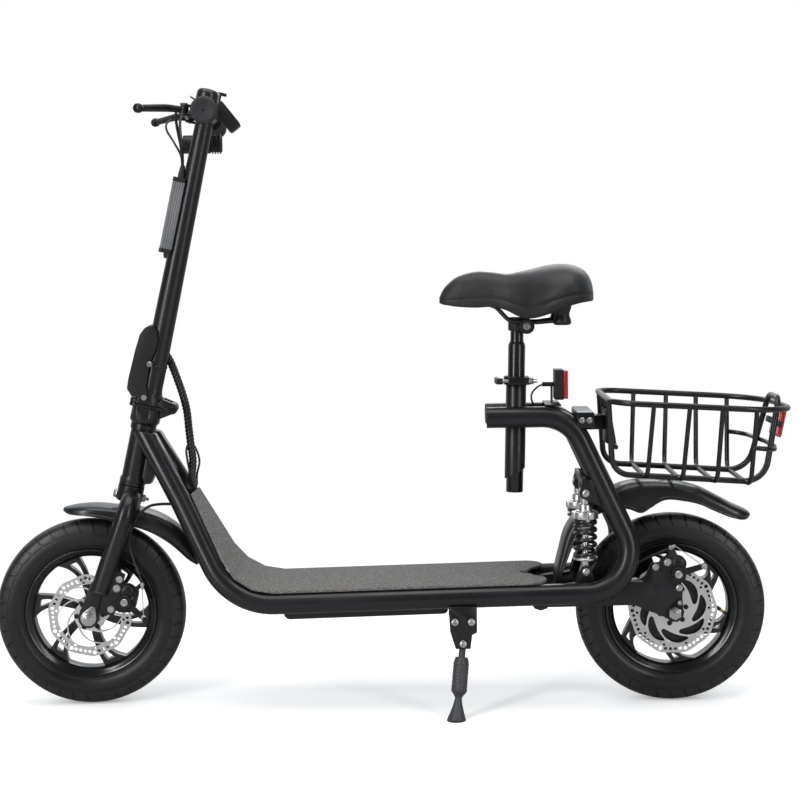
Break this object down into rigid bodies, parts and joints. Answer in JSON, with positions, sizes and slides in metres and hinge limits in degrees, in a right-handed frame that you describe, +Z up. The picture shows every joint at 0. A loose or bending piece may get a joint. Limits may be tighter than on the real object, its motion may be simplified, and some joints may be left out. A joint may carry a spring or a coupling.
{
  "type": "seated electric scooter",
  "caption": "Seated electric scooter with a low tubular step-through frame, folding stem, sprung saddle post, rear hub motor, disc brakes, twin rear shocks, wire basket and side stand.",
  "frame": {"origin": "middle of the ground rectangle under the whole scooter, on the floor that both tyres and the side stand rest on", "axes": "+X to the rear, +Y to the rider's right, +Z up"},
  "size_m": [1.3272, 0.4404, 1.0343],
  "materials": {
    "frame_black": "satin black powder coat",
    "wheel_black": "cast alloy, gloss black paint",
    "motor_black": "smooth black paint",
    "caliper_black": "black anodised and painted alloy",
    "bar_alloy": "black anodised alloy tube",
    "controller_grey": "dark grey extruded fins",
    "stand_grey": "dark grey satin paint",
    "rotor_steel": "ground and brushed stainless steel",
    "bright_steel": "bright zinc-plated steel",
    "spring_steel": "black enamelled spring wire",
    "tyre": "black moulded rubber",
    "grip_rubber": "soft black moulded rubber",
    "cable_rubber": "black flexible sheath",
    "gloss_plastic_black": "glossy black moulding",
    "matte_plastic_black": "fine-grained black moulding",
    "saddle_cover": "smooth black synthetic leather",
    "deck_grip": "alloy plate with a coarse grey-brown grip sheet",
    "red_lens": "red moulded lens with a ribbed face"
  },
  "bodies": {
    "frame": {"rail_left": "frame_black", "rail_right": "frame_black", "head_tube": "frame_black", "deck_plate": "deck_grip", "battery_box": "matte_plastic_black", "pivot_bridge": "frame_black", "shock_bridge": "frame_black", "seat_tube": "frame_black", "seat_collar": "caliper_black", "rear_fender": "gloss_plastic_black", "tail_light": "matte_plastic_black", "tail_light_lens": "red_lens", "kickstand_bracket": "frame_black", "basket": "frame_black", "basket_reflector": "red_lens", "loom": "cable_rubber"},
    "fork": {"fork": "frame_black", "front_caliper": "caliper_black", "front_fender": "gloss_plastic_black", "stem_base": "frame_black", "front_axle": "bright_steel", "front_brake_cable": "cable_rubber"},
    "front_wheel": {"front_tyre": "tyre", "front_rim": "wheel_black", "front_rotor": "rotor_steel"},
    "front_caliper_arm": {"front_caliper_arm": "caliper_black"},
    "stem": {"stem_tube": "frame_black", "controller_box": "controller_grey", "handlebar": "bar_alloy", "grip_left": "grip_rubber", "brake_perch_left": "caliper_black", "brake_perch_right": "caliper_black", "bell": "caliper_black", "display_unit": "matte_plastic_black", "headlight": "matte_plastic_black", "bar_cables": "cable_rubber"},
    "fold_lever": {"fold_lever": "matte_plastic_black"},
    "throttle": {"throttle_grip": "grip_rubber"},
    "brake_lever_left": {"brake_lever_left": "caliper_black"},
    "brake_lever_right": {"brake_lever_right": "caliper_black"},
    "key": {"ignition_key": "bright_steel"},
    "seat": {"seat_post": "frame_black", "saddle_frame": "matte_plastic_black", "saddle": "saddle_cover"},
    "clamp_lever": {"seat_clamp_lever": "matte_plastic_black"},
    "kickstand": {"kickstand_leg": "stand_grey"},
    "swingarm": {"swingarm": "frame_black", "rear_axle": "bright_steel", "rear_caliper": "caliper_black"},
    "rear_wheel": {"rear_tyre": "tyre", "rear_rim": "wheel_black", "hub_motor": "motor_black", "rear_rotor": "rotor_steel"},
    "rear_caliper_arm": {"rear_caliper_arm": "caliper_black"},
    "shock_left_upper": {"shock_left_body": "bright_steel", "shock_left_spring": "spring_steel"},
    "shock_left_lower": {"shock_left_rod": "bright_steel"},
    "shock_right_upper": {"shock_right_body": "bright_steel", "shock_right_spring": "spring_steel"},
    "shock_right_lower": {"shock_right_rod": "bright_steel"}
  },
  "joints": [
    {"name": "steering", "type": "hinge", "parent": "frame", "child": "fork", "pos_m": [-0.42, -0.00007, 0.42571], "axis": [0.2215, 0, 0.9751], "range_deg": [-50.5, 39.5]},
    {"name": "front_wheel_spin", "type": "hinge", "parent": "fork", "child": "front_wheel", "pos_m": [-0.50443, -0.0023, 0.15878], "axis": [-0.0935, 0.9954, 0.0212], "continuous": true},
    {"name": "front_caliper_arm", "type": "hinge", "parent": "fork", "child": "front_caliper_arm", "pos_m": [-0.44405, 0.00278, 0.18598], "axis": [0.0935, -0.9954, -0.0212], "range_deg": [0, 20]},
    {"name": "stem_fold", "type": "hinge", "parent": "fork", "child": "stem", "pos_m": [-0.35974, 0.00395, 0.50226], "axis": [-0.0935, 0.9954, 0.0212], "range_deg": [0, 45], "deforming": ["loom"]},
    {"name": "fold_lever", "type": "hinge", "parent": "stem", "child": "fold_lever", "pos_m": [-0.40557, -0.00079, 0.52293], "axis": [0.0935, -0.9954, -0.0212], "range_deg": [0, 45]},
    {"name": "throttle", "type": "hinge", "parent": "stem", "child": "throttle", "pos_m": [-0.30603, 0.21567, 0.9864], "axis": [-0.0561, 0.9972, -0.0503], "range_deg": [0, 60], "stiffness_Nm_per_rad": 0.3, "springref_deg": -22.92},
    {"name": "brake_lever_left", "type": "hinge", "parent": "stem", "child": "brake_lever_left", "pos_m": [-0.31359, -0.09253, 0.98992], "axis": [0.2215, 0, 0.9751], "range_deg": [0, 22], "stiffness_Nm_per_rad": 2, "springref_deg": -14.32},
    {"name": "brake_lever_right", "type": "hinge", "parent": "stem", "child": "brake_lever_right", "pos_m": [-0.33041, 0.08664, 0.99375], "axis": [-0.2215, 0, -0.9751], "range_deg": [0, 22], "stiffness_Nm_per_rad": 2, "springref_deg": -14.32},
    {"name": "ignition_key", "type": "hinge", "parent": "stem", "child": "key", "pos_m": [-0.27791, 0.05692, 1.01692], "axis": [-0.2215, 0, -0.9751], "range_deg": [0, 90]},
    {"name": "seat_height", "type": "slide", "parent": "frame", "child": "seat", "axis": [0.0227, 0, 0.9997], "range_m": [-0.05, 0.1]},
    {"name": "seat_clamp_lever", "type": "hinge", "parent": "frame", "child": "clamp_lever", "pos_m": [0.19145, -0.02407, 0.54282], "axis": [0, 0, 1], "range_deg": [0, 90]},
    {"name": "kickstand", "type": "hinge", "parent": "frame", "child": "kickstand", "pos_m": [0.12417, -0.09507, 0.12152], "axis": [0, 1, 0], "range_deg": [-95, 0]},
    {"name": "swingarm", "type": "hinge", "parent": "frame", "child": "swingarm", "pos_m": [0.25257, -0.00007, 0.18602], "axis": [0, -1, 0], "range_deg": [0, 6], "stiffness_Nm_per_rad": 1500, "springref_deg": -2.86},
    {"name": "rear_wheel_spin", "type": "hinge", "parent": "swingarm", "child": "rear_wheel", "pos_m": [0.47487, -0.00007, 0.15852], "axis": [0, 1, 0], "continuous": true},
    {"name": "rear_caliper_arm", "type": "hinge", "parent": "swingarm", "child": "rear_caliper_arm", "pos_m": [0.47987, -0.00007, 0.22452], "axis": [0, -1, 0], "range_deg": [0, 20]},
    {"name": "shock_left_swing", "type": "hinge", "parent": "frame", "child": "shock_left_upper", "pos_m": [0.32757, -0.06007, 0.36102], "axis": [0, 1, 0], "range_deg": [0, 2.5]},
    {"name": "shock_left_slide", "type": "slide", "parent": "shock_left_upper", "child": "shock_left_lower", "axis": [0, 0, 1], "range_m": [0, 0.008], "deforming": ["shock_left_spring"]},
    {"name": "shock_right_swing", "type": "hinge", "parent": "frame", "child": "shock_right_upper", "pos_m": [0.32757, 0.05993, 0.36102], "axis": [0, 1, 0], "range_deg": [0, 2.5]},
    {"name": "shock_right_slide", "type": "slide", "parent": "shock_right_upper", "child": "shock_right_lower", "axis": [0, 0, 1], "range_m": [0, 0.008], "deforming": ["shock_right_spring"]}
  ],
  "couplings": [
    {"joint": "front_caliper_arm", "follows": "brake_lever_left", "ratio": 0.8},
    {"joint": "rear_caliper_arm", "follows": "brake_lever_right", "ratio": 0.8},
    {"joint": "shock_left_swing", "follows": "swingarm", "ratio": 0.39},
    {"joint": "shock_left_slide", "follows": "swingarm", "m_per_rad": 0.0725},
    {"joint": "shock_right_swing", "follows": "swingarm", "ratio": 0.39},
    {"joint": "shock_right_slide", "follows": "swingarm", "m_per_rad": 0.0725}
  ]
}
